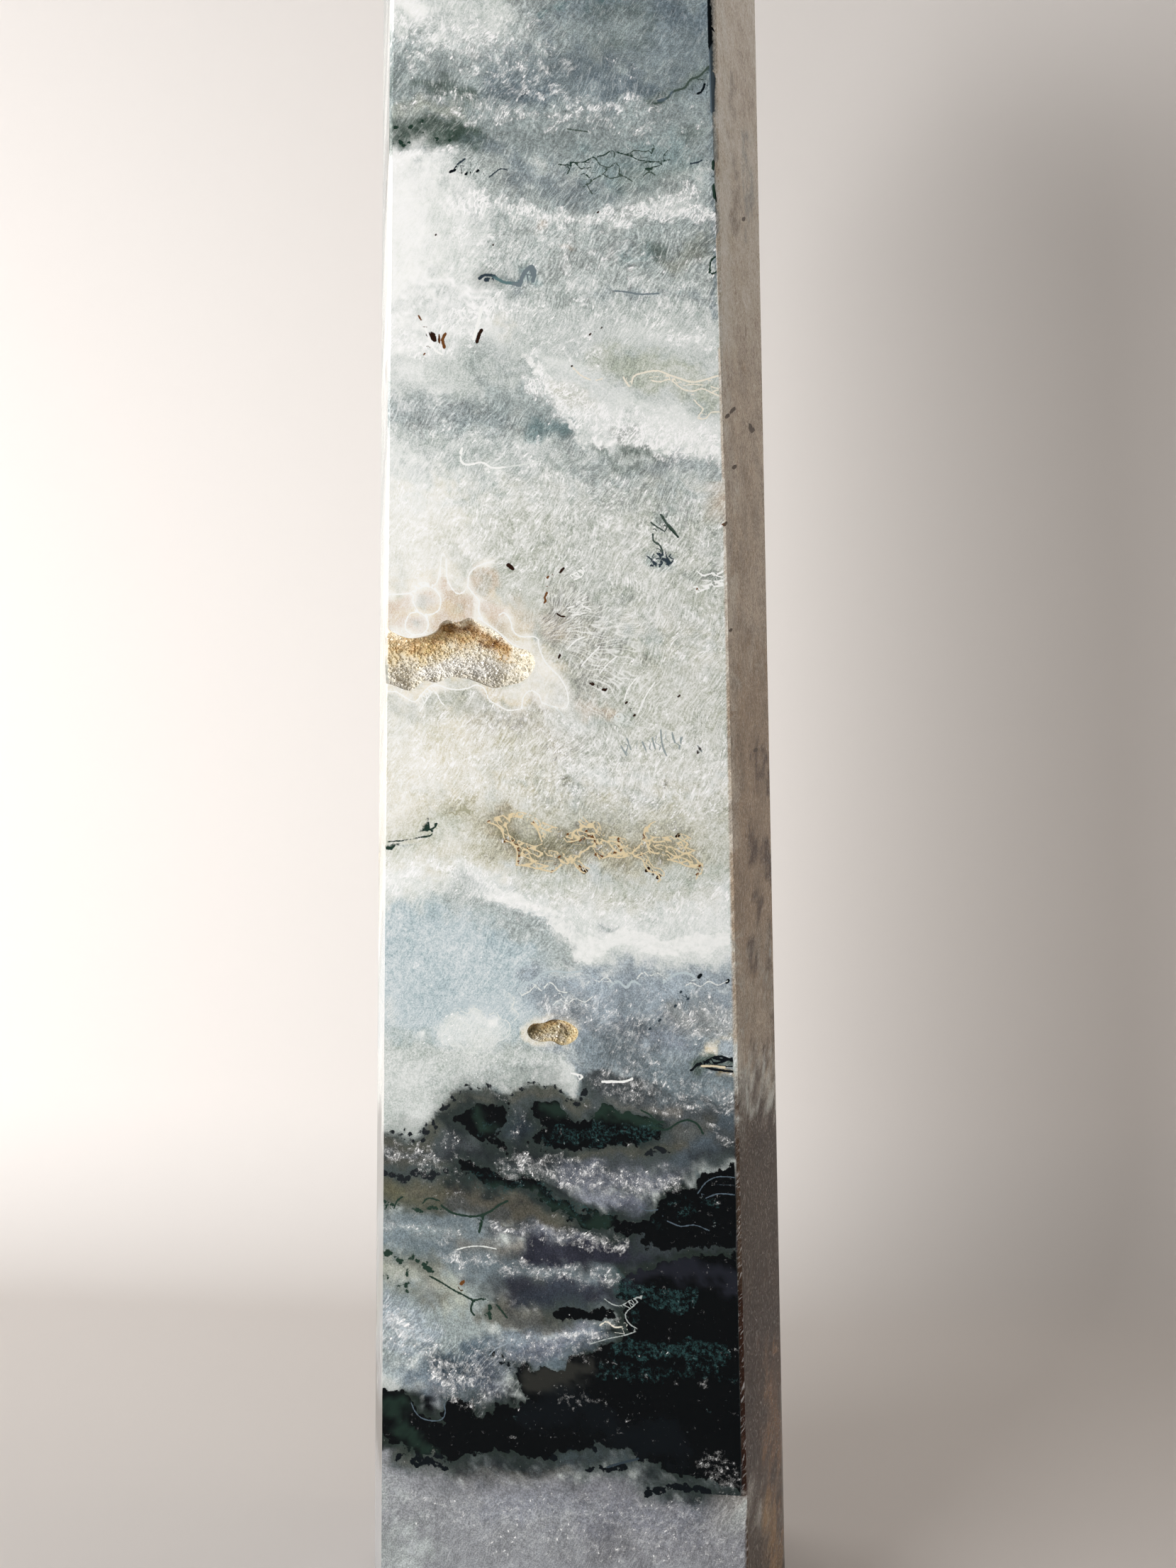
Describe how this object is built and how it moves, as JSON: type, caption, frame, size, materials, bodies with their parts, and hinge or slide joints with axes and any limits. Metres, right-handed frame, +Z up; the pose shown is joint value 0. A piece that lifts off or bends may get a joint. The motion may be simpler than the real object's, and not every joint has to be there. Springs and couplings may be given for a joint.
{
  "type": "moss agate tower",
  "caption": "Flattened six-sided polished stone tower with a faceted point, a flat foot and crystal-lined hollows in its broad front face.",
  "frame": {"origin": "middle of the whole outline at the flat foot", "axes": "+Z up the tower to its point, -Y out of the broad front face with the hollows, +X to the right seen from the front"},
  "size_m": [0.0802, 0.0474, 0.36],
  "materials": {
    "moss_agate": "polished",
    "cream_druse": "sugary crystals",
    "golden_druse": "sugary crystals"
  },
  "bodies": {
    "root": {"tower": "moss_agate", "main_hollow_crust": "cream_druse", "small_hollow_crust": "golden_druse"}
  },
  "joints": []
}
